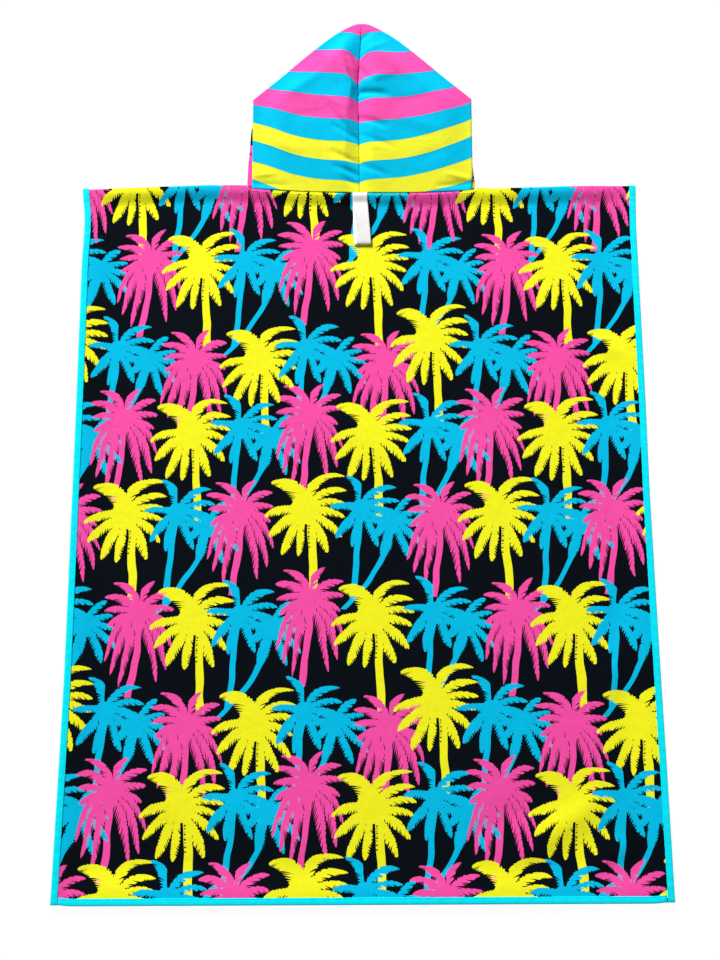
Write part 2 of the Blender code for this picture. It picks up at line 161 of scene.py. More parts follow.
world = bpy.data.worlds.new("studio")
world.use_nodes = True
world.node_tree.nodes["Background"].inputs["Color"].default_value = srgb("#FFFFFF")
world.node_tree.nodes["Background"].inputs["Strength"].default_value = SKY
bpy.context.scene.world = world

lamp = bpy.data.lights.new("key_lamp", "AREA")
lamp.shape = "SQUARE"
lamp.size = KEY_SIZE
lamp.energy = KEY_POWER
key = bpy.data.objects.new("key_lamp", lamp)
key.location = KEY_PLACE
key.rotation_euler = (-key.location).to_track_quat("-Z", "Y").to_euler()  # to the middle
bpy.context.scene.collection.objects.link(key)
bpy.context.scene.view_settings.view_transform = "Standard"
print("sky", SKY, "key", KEY_POWER, "W")

# %% [markdown]
# ## Surfaces
#
# Cloth is a function of two parameters: a grid of points on its outer face, with the place
# of each point on the flat cloth as its texture coordinate. A table gives a curve by a few
# sections, in millimetres, and is read between them.

# %% Tables and curves
def table(names, *rows):
    """Columns by name, from one row of millimetres for each section."""
    return dict(zip(names.split(), np.array(rows, dtype=float).T * MM))


def look(column, columns, at):
    """A table's column, read at places along its first column."""
    along = next(iter(columns.values()))
    return np.interp(at, along, columns[column])


def smooth(t):
    """0 up to t = 0 and 1 from t = 1, level at both ends."""
    t = np.clip(t, 0.0, 1.0)
    return t * t * (3.0 - 2.0 * t)


def spaced(places, sizes):
    """Places along a line: each stretch is divided evenly, in steps of at most its size."""
    parts = [np.array(places[:1])]
    for start, end, size in zip(places, places[1:], sizes):
        count = int(np.ceil(abs(end - start) / size))
        parts.append(np.linspace(start, end, count + 1)[1:])
    return np.concatenate(parts)


def grid(*coordinates):
    """Points with these coordinates, each of which is spread over the whole grid."""
    return np.stack(np.broadcast_arrays(*coordinates), axis=-1)


def bells(folds, x, along):
    """Soft folds added up: a bell across each segment, highest at its middle."""
    total = np.zeros(np.broadcast(x, along).shape)
    for x0, a0, x1, a1, height, width in zip(*folds.values()):
        run_x, run_a = x1 - x0, a1 - a0
        share = ((x - x0) * run_x + (along - a0) * run_a) / (run_x**2 + run_a**2)
        share = np.clip(share, 0.0, 1.0)
        away = np.hypot(x - x0 - share * run_x, along - a0 - share * run_a)
        total += height * (1.0 - (2.0 * share - 1.0) ** 2) * np.exp(-((away / width) ** 2))
    return total


# %% Meshes
def new_piece(name, points, faces, uv, material, slot):
    """A smooth-shaded piece from points, faces and a texture coordinate for each corner."""
    mesh = bpy.data.meshes.new(name)
    mesh.from_pydata(points.reshape(-1, 3).tolist(), [], faces)
    mesh.uv_layers.new(name="cloth").data.foreach_set("uv", uv.ravel())
    mesh.materials.append(material)
    mesh.shade_smooth()
    piece = bpy.data.objects.new(name, mesh)
    bpy.context.scene.collection.objects.link(piece)
    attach(piece, "root")
    return piece


def grid_piece(name, points, uv, material, slot, kept=None, flipped=False, around=False):
    """A piece on a grid of points; one that closes around has one more uv column."""
    rows, columns = points.shape[:2]
    corner = np.arange(rows * columns).reshape(rows, columns)
    if around:
        corner = np.hstack([corner, corner[:, :1]])
    place = np.arange(corner.size).reshape(corner.shape)

    def quads(numbers):
        each = [numbers[:-1, :-1], numbers[1:, :-1], numbers[1:, 1:], numbers[:-1, 1:]]
        each = np.stack(each[::-1] if flipped else each, axis=2)
        return each.reshape(-1, 4) if kept is None else each[kept]

    uv_flat = uv.reshape(-1, 2)
    faces = quads(corner).tolist()
    corners = uv_flat[quads(place).ravel()]
    if around:
        for row in (0, rows - 1):
            cap = corner[row, :-1] if (row == 0) != flipped else corner[row, -2::-1]
            faces.append(cap.tolist())
            corners = np.vstack([corners, np.tile(uv[row, 0], (columns, 1))])
    return new_piece(name, points, faces, corners, material, slot)


def thicken(piece, thickness):
    """Gives a cloth its thickness, inwards from its outer face."""
    solidify = piece.modifiers.new("cloth thickness", "SOLIDIFY")
    solidify.thickness = thickness
    solidify.offset = -1.0


# %% [markdown]
# ## The printed towelling
#
# Cotton velour: a short cut pile, matt and a little uneven, printed with neon palms on
# black. It could be painted as a picture, but a formula is sharper at any distance.
# A palm's crown is a function of the angle and distance from its hub. Each frond owns a
# wedge of angles, bent over by its own weight, and its outline is a taper cut by a saw of
# leaflets. The repeat holds four rows of two palms of each kind. Every other row is shifted
# by a third of the way to the next palm of its kind, to the right and to the left in turn.

# %% The palms' fronds
REACH = 66.0  # mm, how far out a frond has drooped by its whole bend
TURN = 2.5 * np.pi  # the ramp holds both sides' angles, from straight down round to the top
LONGEST, WIDEST = 100.0, 20.0  # mm, the most that the ramp can hold
LAST_WEDGE = 0.6  # how far a side's last wedge goes past its frond, in steps between fronds
MOST_TURN = 0.49 * TURN  # the angles of one side stay in its half of the ramp

# The fronds on a crown's right, then on its left, each from the lowest to the highest: the
# angle from straight down at which it leaves the hub, its length and half width in mm.
YELLOW_FRONDS = (
    [(28, 62, 7.2), (56, 57, 7), (86, 48, 6), (112, 50, 5.8), (139, 54, 6.4), (172, 61, 7.6)],
    [(9, 61, 6), (30, 64, 7.8), (60, 56, 7.6), (91, 51, 7), (160, 54, 12.5)],
)
PINK_TOP_FRONDS = (
    [(74, 38, 6.6), (106, 40, 6), (138, 45, 6.4), (174, 42, 6)],
    [(72, 41, 6.6), (102, 41, 6), (132, 47, 6.8), (161, 48, 6.8)],
)
PINK_HANGING_FRONDS = (
    [(22, 88, 8.4), (44, 78, 10.8), (70, 60, 8.8)],
    [(20, 93, 8.4), (42, 82, 10.8), (66, 72, 10.4)],
)
LEFT_CYAN_FRONDS = (
    [(24, 50, 6), (54, 50, 6), (90, 43, 5), (116, 47, 5.2), (146, 50, 6)],
    [(13, 50, 6), (43, 50, 7.2), (100, 38, 5.6), (176, 46, 7)],
)
RIGHT_CYAN_FRONDS = (
    [(22, 52, 6.2), (52, 50, 6), (82, 38, 5.2), (112, 34, 5), (150, 36, 5.6)],
    [(16, 50, 8), (52, 34, 6), (88, 33, 5.2), (124, 38, 6)],
)


def frond_steps(fronds):
    """Ramp steps, one wedge of angles for each frond: its own angle, length and width."""
    steps = []
    for half, side in zip((0.0, 0.5), fronds):
        angles = [launch for launch, _, _ in side]
        starts = [0.0] + [(a + b) / 2 for a, b in zip(angles, angles[1:])]
        for start, (launch, length, width) in zip(starts, side):
            value = (half + np.radians(launch) / TURN, length / LONGEST, width / WIDEST, 1.0)
            steps.append((half + np.radians(start) / TURN, value))
        end = angles[-1] + (angles[-1] - angles[-2]) * LAST_WEDGE
        steps.append((half + np.radians(end) / TURN, (0.0, 0.0, 0.0, 1.0)))
    return steps


# %% One palm
DRAWN_LONGER, DRAWN_WIDER = 1.12, 1.10  # a frond as it is drawn, against its list
SHALLOW = 0.2  # depth of the leaflets' cuts on a frond's upper side, as a share of its width
LEAST_CUT, CUT_RANGE = 0.15, 1.7  # each leaflet's own share of the depth, by chance
SAW_SHIFT = 37.0  # each frond's saw starts at another place


def chance(node, place):
    """A random number from 0 to 1 for each whole number that a place has passed."""
    number = node("FLOOR", place)
    return node("TexWhiteNoise", noise_dimensions="1D", W=number, out="Value")


def crown(node, x, y, fronds, bend, power, step, slant, deep, core, blunt):
    """1 inside a palm's crown, from millimetres right of and above its hub.

    The angle from straight down, plus what the frond has drooped so far out, picks the
    frond. Inside it, the distance to its rib is compared with its half width, which
    tapers to the tip and is cut by a saw of leaflets, deeper on the lower side.
    """
    radius = node("SQRT", node("*+", x, x, node("*", y, y)))
    high = node("*+", node("/", y, radius), 0.5, 0.5)
    droop = node("POWER", node("/", radius, REACH), power)
    angle = node("ARCTAN2", node("ABSOLUTE", x), node("*", y, -1.0))
    launch = node("*+", node("*", high, droop), bend, angle)
    launch = node("MINIMUM", launch, MOST_TURN)
    side = node("*", node("<", x, 0.0), 0.5)
    turn = node("*+", launch, 1.0 / TURN, side)
    frond = node("ValToRGB", turn, steps=frond_steps(fronds))
    rib, length, width = node("SeparateColor", frond).node.outputs
    across = node("*", node("*", node("-", turn, rib), TURN), radius)
    aside = node("ABSOLUTE", across)
    along = node("/", radius, node("*", length, LONGEST * DRAWN_LONGER))
    taper = node("-", 1.0, node("POWER", along, blunt))
    half = node("*", node("*", width, WIDEST * DRAWN_WIDER), node("SQRT", taper))
    leaflet = node("*+", aside, -slant, radius)
    leaflet = node("*+", leaflet, 1.0 / step, node("*", rib, SAW_SHIFT))
    saw = node("*+", chance(node, leaflet), CUT_RANGE, LEAST_CUT)
    saw = node("*", node("FRACT", leaflet), saw)
    depth = node("*+", node("<", across, 0.0), deep - SHALLOW, SHALLOW)
    cut = node("-", 1.0, node("*", depth, saw))
    leaf = node("*", node("<", aside, node("*", half, cut)), node("<", along, 1.0))
    return node("MAXIMUM", leaf, node("<", radius, core))


def trunk(node, x, y, lean, bend, half, foot, length):
    """1 inside a trunk: it leans and bends as it goes down, and widens to its foot."""
    line = node("*", y, node("*+", y, bend, lean))
    aside = node("ABSOLUTE", node("-", x, line))
    width = node("*+", y, (half - foot) / length, half)
    inside = node("*", node("<", aside, width), node("<", y, 0.0))
    return node("*", inside, node(">", y, -length))


# %% Rows of palms
REPEAT = 508.0  # mm, across and down
ACROSS = REPEAT / 2  # mm, from one palm to the next of its kind
ROW_STEP = REPEAT / 4
ROW_RIGHT, ROW_SWAY, ROW_DOWN = 18.0, 85.0, 115.0  # mm, a row's first place and its shift
FOLD_ROW, FOLD_ROW_DOWN = -1.0, 14.0  # the row that the fold runs through lies lower
DRIFT_REACH = 40.0  # mm, the most that a drift can be
ROW_LOWER = 40.0  # mm, how much further a palm reaches below its hub than above it

# How far each palm is printed from its even place: mm right and down, two in each row.
YELLOW_DRIFT = [(-3, 4), (10, 6), (-5, -10), (9, 20), (-4, 1), (1, 0), (-8, -19), (1, -13)]
PINK_DRIFT = [(-9, -19), (16, -4), (11, 22), (-2, 19)]
PINK_DRIFT += [(-11, -28), (-13, -22), (-19, -16), (-1, -13)]
CYAN_DRIFT = [(11, 1), (4, 5), (-2, 8), (6, 8), (9, -5), (2, -5), (0, -13), (2, -9)]


def palm_cell(node, u, down, odd, right, above, drift):
    """Millimetres right of and above the nearest hub, in the even or in the odd rows."""
    middle = ROW_DOWN + ROW_LOWER + odd * ROW_STEP
    pair = node("*+", down, 0.5 / ROW_STEP, 0.5 - 0.5 * middle / ROW_STEP)
    row = node("*+", node("FLOOR", pair), 2.0, odd)
    x = node("-", u, ROW_RIGHT + right)
    if odd:
        sway = node("SINE", node("*", row, np.pi / 2))
        x = node("*+", sway, -ROW_SWAY, x)
    column = node("FLOOR", node("*+", x, 1 / ACROSS, 0.5))
    place = node("WRAP", column, 2.0, 0.0)
    place = node("*+", node("WRAP", row, 4.0, 0.0), 2.0, place)
    place = node("*+", place, 1 / len(drift), 0.5 / len(drift))
    values = np.array(drift) / DRIFT_REACH / 2 + 0.5
    steps = [(at / len(drift), (*value.tolist(), 0.0, 1.0)) for at, value in enumerate(values)]
    aside, lower = node("SeparateColor", node("ValToRGB", place, steps=steps)).node.outputs[:2]
    x = node("WRAP", x, ACROSS / 2, -ACROSS / 2)
    x = node("*+", aside, -2 * DRIFT_REACH, node("+", x, DRIFT_REACH))
    hub = node("*+", row, ROW_STEP, ROW_DOWN - DRIFT_REACH)
    if odd:
        at_fold = node("COMPARE", row, FOLD_ROW, 0.5)
        hub = node("*+", at_fold, FOLD_ROW_DOWN, hub)
    hub = node("*+", lower, 2 * DRIFT_REACH, hub)
    return x, node("-", node("-", hub, down), above)


# %% The print
BLACK, PINK, YELLOW, CYAN = (srgb(ink) for ink in ("#050C14", "#F850A8", "#F6F422", "#02BEE8"))

# Each palm: mm right of and above the yellow palm's hub, and its drifts.
PALM_PLACES = {
    "left": (68, 6, CYAN_DRIFT),
    "right": (111, -9, CYAN_DRIFT),
    "pink": (-77, 0, PINK_DRIFT),
    "yellow": (0, 0, YELLOW_DRIFT),
}
# Each trunk: mm right of its hub, lean, bend, half widths at its top and foot, and length.
TRUNKS = {
    "left": (0, 0.10, 0.0, 3.6, 4.2, 126),
    "right": (0, 0.10, -0.0036, 3.6, 4.2, 124),
    "pink": (0, 0.02, -0.0007, 4.2, 4.6, 116),
    "yellow": (8, -0.03, 0.0, 5.2, 5.6, 126),
}
# Each crown: fronds, how far they bend and by which power of the distance, the leaflets'
# length, slant and depth, the hub's radius, and the power of the fronds' taper.
CROWNS = {
    "left": {"left_crown": (LEFT_CYAN_FRONDS, 0.8, 2.7, 3.8, 1.2, 0.62, 12, 5)},
    "right": {"right_crown": (RIGHT_CYAN_FRONDS, 0.8, 2.7, 3.8, 1.2, 0.62, 12, 5)},
    "pink": {
        "pink_hanging": (PINK_HANGING_FRONDS, 4.0, 2.0, 4.2, 1.6, 0.85, 15, 3.6),
        "pink_top": (PINK_TOP_FRONDS, 0.8, 2.7, 3.8, 1.5, 0.66, 15, 4),
    },
    "yellow": {"yellow_crown": (YELLOW_FRONDS, 0.78, 2.6, 4.0, 1.3, 0.6, 21, 6)},
}
# The print's layers from the lowest to the top one.
LAYER_INKS = dict(left_trunk=CYAN, right_trunk=CYAN, pink_trunk=PINK, yellow_trunk=YELLOW)
LAYER_INKS |= dict(left_crown=CYAN, right_crown=CYAN, pink_hanging=PINK, pink_top=PINK)
LAYER_INKS |= dict(yellow_crown=YELLOW, scars=BLACK, left_in_front=CYAN)

SCAR_STEP, MOST_INK = 3.1, 0.8  # mm down the trunk, and the inked share of a step
SCARS_RIGHT, SCARS_ABOVE = (-2.4, 1.2), (-40.0, 17.0)  # mm, their middle and half extent
WANDER, WANDER_SCALE = 9.0, 0.02  # how far the print strays, in mm, and how often


def leaf_scars(node, x, y):
    """1 in the scars of old leaves: short ticks of chance lengths down a trunk's left."""
    scar = node("*", y, 1 / SCAR_STEP)
    ink = node("*", chance(node, scar), MOST_INK)
    inked = node("<", node("FRACT", scar), ink)
    near = node("*", node("COMPARE", x, *SCARS_RIGHT), node("COMPARE", y, *SCARS_ABOVE))
    return node("*", near, inked)


def palm_print(node, cloth):
    """The printed colour at a place on the flat cloth, in metres: palms painted in order."""
    millimetres = node("VectorMath.SCALE", cloth, Scale=1000.0)
    wander = node("TexNoise", millimetres, Scale=WANDER_SCALE, Detail=1.0, out="Color")
    wander = node("VectorMath.SUBTRACT", wander, (0.5, 0.5, 0.5))
    wander = node("VectorMath.SCALE", wander, Scale=WANDER)
    strayed = node("VectorMath.ADD", millimetres, wander)
    u, down = node("SeparateXYZ", strayed).node.outputs[:2]

    layers = {name: [] for name in LAYER_INKS}
    for odd in (0, 1):
        for palm, place in PALM_PLACES.items():
            x, y = palm_cell(node, u, down, odd, *place)
            right, *form = TRUNKS[palm]
            shaft = node("-", x, right)
            layers[palm + "_trunk"].append(trunk(node, shaft, y, *form))
            for name, form in CROWNS[palm].items():
                layers[name].append(crown(node, x, y, *form))
            if palm == "left":
                in_front = node("*", layers["left_crown"][-1], node("<", x, 0.0))
                layers["left_in_front"].append(in_front)
            if palm == "yellow":
                layers["scars"].append(leaf_scars(node, shaft, y))

    colour = BLACK
    for name, ink in LAYER_INKS.items():
        mask = node("MAXIMUM", *layers[name])
        colour = node("Mix", mask, data_type="RGBA", A_Color=colour, B_Color=ink, out=2)
    return colour


# %% Cotton velour, printed
NOISE = (0.3, 0.7)  # where most of a noise texture's values lie


def matt(node, colour, uneven, tones, bump, roughness, shine):
    """A matt shader over a bump, its colour uneven between two tones."""
    tone = node("MapRange", uneven, *NOISE, *tones)
    return node(
        "BsdfPrincipled",
        node("VectorMath.SCALE", colour, Scale=tone),
        Roughness=roughness,
        IOR=1.5,
        Specular_IOR_Level=shine,
        Normal=bump,
    )


def velour(name, paint):
    """Cut-pile towelling: matt, the ink a little uneven, the pile a fine bump."""
    node, wear = new_material(name)
    cloth = node("UVMap", uv_map="cloth")
    uneven = node("TexNoise", cloth, Scale=140.0, Detail=4.0, Roughness=0.65)
    # A real pile is 0.3 mm across; 1 mm is the finest that shows.
    pile = node("TexNoise", cloth, Scale=1000.0, Detail=2.0)
    hand = node("TexNoise", cloth, Scale=60.0, Detail=3.0)
    height = node("*+", hand, 1.6, node("*", pile, 0.22))
    bump = node("Bump", Strength=0.35, Distance=0.001, Height=height)
    return wear(matt(node, paint(node, cloth), uneven, (0.95, 1.03), bump, 0.92, 0.06))


printed_velour = velour("printed_cotton_velour", palm_print)

# %% [markdown]
# ## The body
#
# Front and back are one cloth, 0.80 m wide and 2 m long, folded at the shoulders. The grid
# runs from the front hem over the fold to the back hem, so that the print carries on
# round it, as it does on the real towel. The front lies on the floor, and the back on the
# front. The fold stands up in a soft roll, and the neck hole is cut out of it.

# %% The body's sizes
BODY_WIDTH = 0.800
BODY_LENGTH = 1.000
HOOD_RISE = 0.263
CLOTH = 0.0012
TAPE = 0.0010
GAP = 0.0003
EDGE = GAP + TAPE  # from the cloth's cut edge to the tape's outer face
Y_SHOULDER = (BODY_LENGTH - HOOD_RISE) / 2
HEM_DOWN = BODY_LENGTH - EDGE

NECK_MIDDLE = 0.0035
NECK_HALF = 0.1655
NECK_CURVE = 2.5
BACK_SCOOP, BACK_SCOOP_RUN = 0.0065, 0.060  # its depth, and how far down it bends the rows
FRONT_SCOOP, FRONT_SCOOP_RUN = 0.070, 0.20
SEAM_SINK = 0.0042  # how far the back's cloth turns down into the neck seam
SEAM_ROUND = 0.007
SEAM_END = 0.006

FLAT_STRIP = 0.010
REST = 0.0034
AT_TAPE = 0.0067
ROLL_TOP = 0.0086
TAPE_ROLL_TOP = 0.0076
FOLD_ARC = 0.004
ROLL_START = 0.007
ROLL_RUN = 0.022
LIFT_RUN = 0.016
RISE_RUN = 0.040
SHOULDER_RUN = BODY_LENGTH / 4
HEM_CORNER_RISE = 0.002
HEM_CORNER = 0.030
INNER_HALF = 0.3595  # the grid is even from here inwards
NEAR_NECK = 0.012  # and finer on both sides of the neck's ends
ARC_STEPS = 12

SIDE_BOW = table(
    "down left right",
    (0, 1.8, 2.3), (40, 6.2, 3.5), (65, 6.9, 4.4),
    (110, 5.2, 4.2), (335, 5.9, 4), (460, 5.7, 4.9),
    (700, 5.4, 3), (830, 3.3, 1.4), (1000, 0, 0),
)
SHOULDER_LINE = table(
    "x rise",
    (-400, -3), (-300, 1), (-215, 3.8), (-160, 3), (165, -1.5),
    (190, -4), (218, -3), (304, -0.4), (390, -0.8), (400, -2.4),
)
SOFT_FOLDS = table(
    "x0 down0 x1 down1 height width",
    (-345, 150, -250, 300, 1.8, 24), (-150, 70, -60, 190, 1.3, 20),
    (150, 120, 300, 200, 1.8, 22), (330, 225, 385, 275, 3, 12),
    (345, 190, 290, 330, -1.2, 16), (-120, 300, 60, 420, 1.6, 30),
    (60, 300, 200, 380, -1, 26), (-345, 520, -230, 700, 1.8, 26),
    (375, 620, 310, 760, 2.6, 16), (330, 590, 350, 700, -1, 14),
    (80, 560, 190, 700, 1.6, 28), (180, 955, 325, 860, 3, 17),
    (120, 925, 270, 850, -1.2, 18), (270, 975, 355, 915, 2.4, 12),
    (-200, 860, -60, 940, 1.8, 24), (-330, 800, -240, 900, 1.4, 20),
)

# %% The body's grid
FRONT_DOWN = spaced(
    (HEM_DOWN, HEM_DOWN - FLAT_STRIP, 0.92, 0.25, 0.03, FOLD_ARC), (0.005, 0.01, 0.02, 0.01, 0.005)
)
BACK_DOWN = spaced((FOLD_ARC, 0.04, HEM_DOWN - 0.03, HEM_DOWN), (0.002, 0.0055, 0.003))
EDGE_COLUMNS = spaced((0.0, FLAT_STRIP, 0.028), (0.0025, 0.0036))
NECK_LEFT = NECK_MIDDLE - NECK_HALF
NECK_RIGHT = NECK_MIDDLE + NECK_HALF
INNER_COLUMNS = spaced(
    (-INNER_HALF, NECK_LEFT - NEAR_NECK, NECK_LEFT, NECK_LEFT + NEAR_NECK)
    + (NECK_RIGHT - NEAR_NECK, NECK_RIGHT, NECK_RIGHT + NEAR_NECK, INNER_HALF),
    (0.0056, 0.003, 0.003, 0.0056, 0.003, 0.003, 0.0056),
)


def body_x(down):
    """The x of every column, in rows at distances below the shoulder line."""
    half = BODY_WIDTH / 2 - EDGE
    left = (look("left", SIDE_BOW, down) - half)[:, None]
    right = (half - look("right", SIDE_BOW, down))[:, None]
    inner = np.broadcast_to(INNER_COLUMNS, (len(down), len(INNER_COLUMNS)))
    return np.hstack([left + EDGE_COLUMNS, inner, right - EDGE_COLUMNS[::-1]])


def neck_outline(x):
    """1 in the middle of the neck, 0 from its ends outwards."""
    return 1.0 - np.clip(np.abs(x - NECK_MIDDLE) / NECK_HALF, 0.0, 1.0) ** NECK_CURVE


def scooped(down, x, scoop, run):
    """Distances below the shoulder line, pushed down by a scoop that fades out over a run."""
    return down + scoop * neck_outline(x) * (1.0 - smooth((down - FOLD_ARC) / run))


def from_edge(down, x):
    """Distance in from the nearest cut edge, at the sides or at the hem."""
    edges = body_x(down[:, 0])
    side = np.minimum(x - edges[:, :1], edges[:, -1:] - x)
    return np.minimum(side, HEM_DOWN - down)


def front_face(down, x):
    """Height of the front's outer face: on the floor, lifted by the tape at its edges."""
    return EDGE * (1.0 - smooth((from_edge(down, x) - FLAT_STRIP) / LIFT_RUN))


def back_face(down, x):
    """Height of the back's outer face: resting, up on the tapes, in the roll, in folds."""
    edge = from_edge(down, x) - FLAT_STRIP
    at_tape = 1.0 - smooth(edge / RISE_RUN)
    roll = 1.0 - smooth((down - ROLL_START) / ROLL_RUN)
    resting = REST + (AT_TAPE - REST) * at_tape
    rolled = ROLL_TOP + (TAPE_ROLL_TOP - ROLL_TOP) * at_tape
    folds = bells(SOFT_FOLDS, x, down) * (1.0 - at_tape) * (1.0 - roll)
    at_neck = smooth((NECK_HALF - np.abs(x - NECK_MIDDLE)) / SEAM_END)
    into_seam = 1.0 - np.clip((down - FOLD_ARC) / SEAM_ROUND, 0.0, 1.0)
    sunk = SEAM_SINK * at_neck * (1.0 - np.sqrt(1.0 - into_seam**2))
    return resting + (rolled - resting) * roll + folds - sunk


def body_grid():
    """Points and flat-cloth places, from the front hem over the shoulders to the back hem."""
    angles = np.radians(np.linspace(-90.0, 90.0, ARC_STEPS + 1)[1:-1, None])
    front_down, back_down = FRONT_DOWN[:, None], BACK_DOWN[:, None]
    front_x, back_x = body_x(FRONT_DOWN), body_x(BACK_DOWN)
    arc_x = body_x(np.full(len(angles), FOLD_ARC))
    front_z = front_face(front_down, front_x)
    back_z = back_face(back_down, back_x)
    middle = (back_z[0] + front_z[-1]) / 2
    half = (back_z[0] - front_z[-1]) / 2
    arc_z = middle + half * np.sin(angles)
    front_down = scooped(front_down, front_x, FRONT_SCOOP, FRONT_SCOOP_RUN)
    back_down = scooped(back_down, back_x, BACK_SCOOP, BACK_SCOOP_RUN)
    arc_down = np.broadcast_to(FOLD_ARC - FOLD_ARC * np.cos(angles), arc_x.shape)

    x = np.vstack([front_x, arc_x, back_x])
    down = np.vstack([front_down, arc_down, back_down])
    z = np.vstack([front_z, arc_z, back_z])
    level_x = np.clip(x, x[:, :1] + FLAT_STRIP, x[:, -1:] - FLAT_STRIP)
    rise = look("rise", SHOULDER_LINE, level_x) * (1.0 - smooth(down / SHOULDER_RUN))
    near_side = smooth((np.abs(level_x) - BODY_WIDTH / 2 + HEM_CORNER) / HEM_CORNER)
    near_hem = smooth((down - HEM_DOWN) / HEM_CORNER + 1.0)
    y = Y_SHOULDER - down + rise + HEM_CORNER_RISE * near_side * near_hem

    arc_length = (1.0 + np.sin(angles)) * FOLD_ARC - FOLD_ARC
    along = np.vstack([-front_down, arc_length * np.ones_like(arc_x), back_down])
    return grid(x, y, z), grid(x, along)


body, body_cloth = body_grid()
FIRST_ARC = len(FRONT_DOWN) - 1
FIRST_BACK = FIRST_ARC + ARC_STEPS
kept = np.ones((body.shape[0] - 1, body.shape[1] - 1), dtype=bool)
column_middle = (body[FIRST_BACK, :-1, 0] + body[FIRST_BACK, 1:, 0]) / 2
kept[FIRST_ARC:FIRST_BACK, np.abs(column_middle - NECK_MIDDLE) < NECK_HALF] = False
body_piece = grid_piece("towel_body", body, body_cloth, printed_velour, "print_towelling", kept)
thicken(body_piece, CLOTH)
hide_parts("body")
print("body grid", body.shape[:2], "quads", int(kept.sum()))

# %% [markdown]
# ## The tape round the edges
#
# A woven cyan tape is folded round every cut edge and stitched through. Its section is
# carried along the cloth's own edge, over the shoulder fold too, so it can't drift off it.
# The needle pulls it in a little at each stitch, which leaves the tape softly rippled.

# %% Woven tape
def woven_tape(name, colour, ribs):
    """Plain woven tape: matt, with ribs across it about a millimetre apart."""
    node, wear = new_material(name)
    tape = node("UVMap", uv_map="cloth")
    uneven = node("TexNoise", tape, Scale=90.0, Detail=3.0)
    rib = node("TexWave", tape, Scale=ribs, Distortion=0.6, bands_direction="X", out="Fac")
    bump = node("Bump", Strength=0.25, Distance=0.0004, Height=rib)
    return wear(matt(node, colour, uneven, (0.93, 1.02), bump, 0.8, 0.08))


cyan_tape = woven_tape("woven_polyester_tape", srgb("#00EEFF")[:3], 340.0)

# %% The tape's section and path
TAPE_COVER = 0.008
TAPE_SECTION = np.array(
    [(-8.0, 0.3), (-8.0, 0.95), (-7.6, 1.25), (-6.6, 1.25), (-5.9, 1.05), (-5.2, 1.25)]
    + [(-3.4, 1.3), (-1.6, 1.3), (0.1, 1.3), (0.8, 1.05), (1.2, 0.5), (1.3, -0.6)]
    + [(1.2, -1.7), (0.8, -2.25), (0.1, -2.5), (-3.4, -2.5), (-7.6, -2.45), (-8.0, -2.15)]
    + [(-8.0, -1.5), (0.3, -1.5), (0.3, 0.3)]
) * MM
STITCH_LINE = (-5.9 * MM, 1.04 * MM)  # where the thread lies in the section
PRESSED = 1.3 * MM
LEAST_OPEN = 0.02  # of PRESSED, at the very end
TAPE_STEP = 0.0032
PAST_HEM = np.array([1.0, 0.93, 0.78, 0.5])[:, None]  # the side tapes' last rings, in EDGEs
RIPPLES = [(9.1, 0.40), (6.3, 0.25), (14.7, 0.35)]  # each wave's length in mm, and its share
RIPPLE_START = 4  # the ripple reaches its full size so many times PRESSED from an end
EDGE_WAVE, FACE_WAVE = 0.30, 0.26  # mm, how far the inner edge and the upper face move
INNER_EDGE = -5.0 * MM
HELD_TO, HELD = -5.5 * MM, 0.3  # inside the stitches the face moves less
UPPER_FACE = 0.9 * MM


def divided(path, size):
    """The same path with every leg divided evenly, in steps of at most a size."""
    parts = [path[:1]]
    for start, end in zip(path, path[1:]):
        count = max(int(np.ceil(np.linalg.norm(end - start) / size)), 1)
        share = np.arange(1, count + 1)[:, None] / count
        parts.append(start * (1.0 - share) + end * share)
    return np.concatenate(parts)


def run_length(path):
    """Distance along a path, point by point."""
    legs = np.linalg.norm(np.diff(path, axis=0), axis=-1)
    return np.concatenate([[0.0], np.cumsum(legs)])


def path_normals(path):
    """Normals of a path in the YZ plane, to the left of its direction seen along +X."""
    legs = np.diff(path[:, 1:], axis=0)
    legs /= np.linalg.norm(legs, axis=1, keepdims=True)
    turned = np.vstack([legs[:1], legs[:-1] + legs[1:], legs[-1:]])
    turned /= np.linalg.norm(turned, axis=1, keepdims=True)
    return np.column_stack([np.zeros(len(path)), turned[:, 1], -turned[:, 0]])


def ripple(along, seed):
    """Uneven waves between -1 and 1, about one for every 9 mm."""
    turns = [along / MM * 2 * np.pi / length + seed * length for length, _ in RIPPLES]
    return sum(share * np.sin(turn) for turn, (_, share) in zip(turns, RIPPLES))


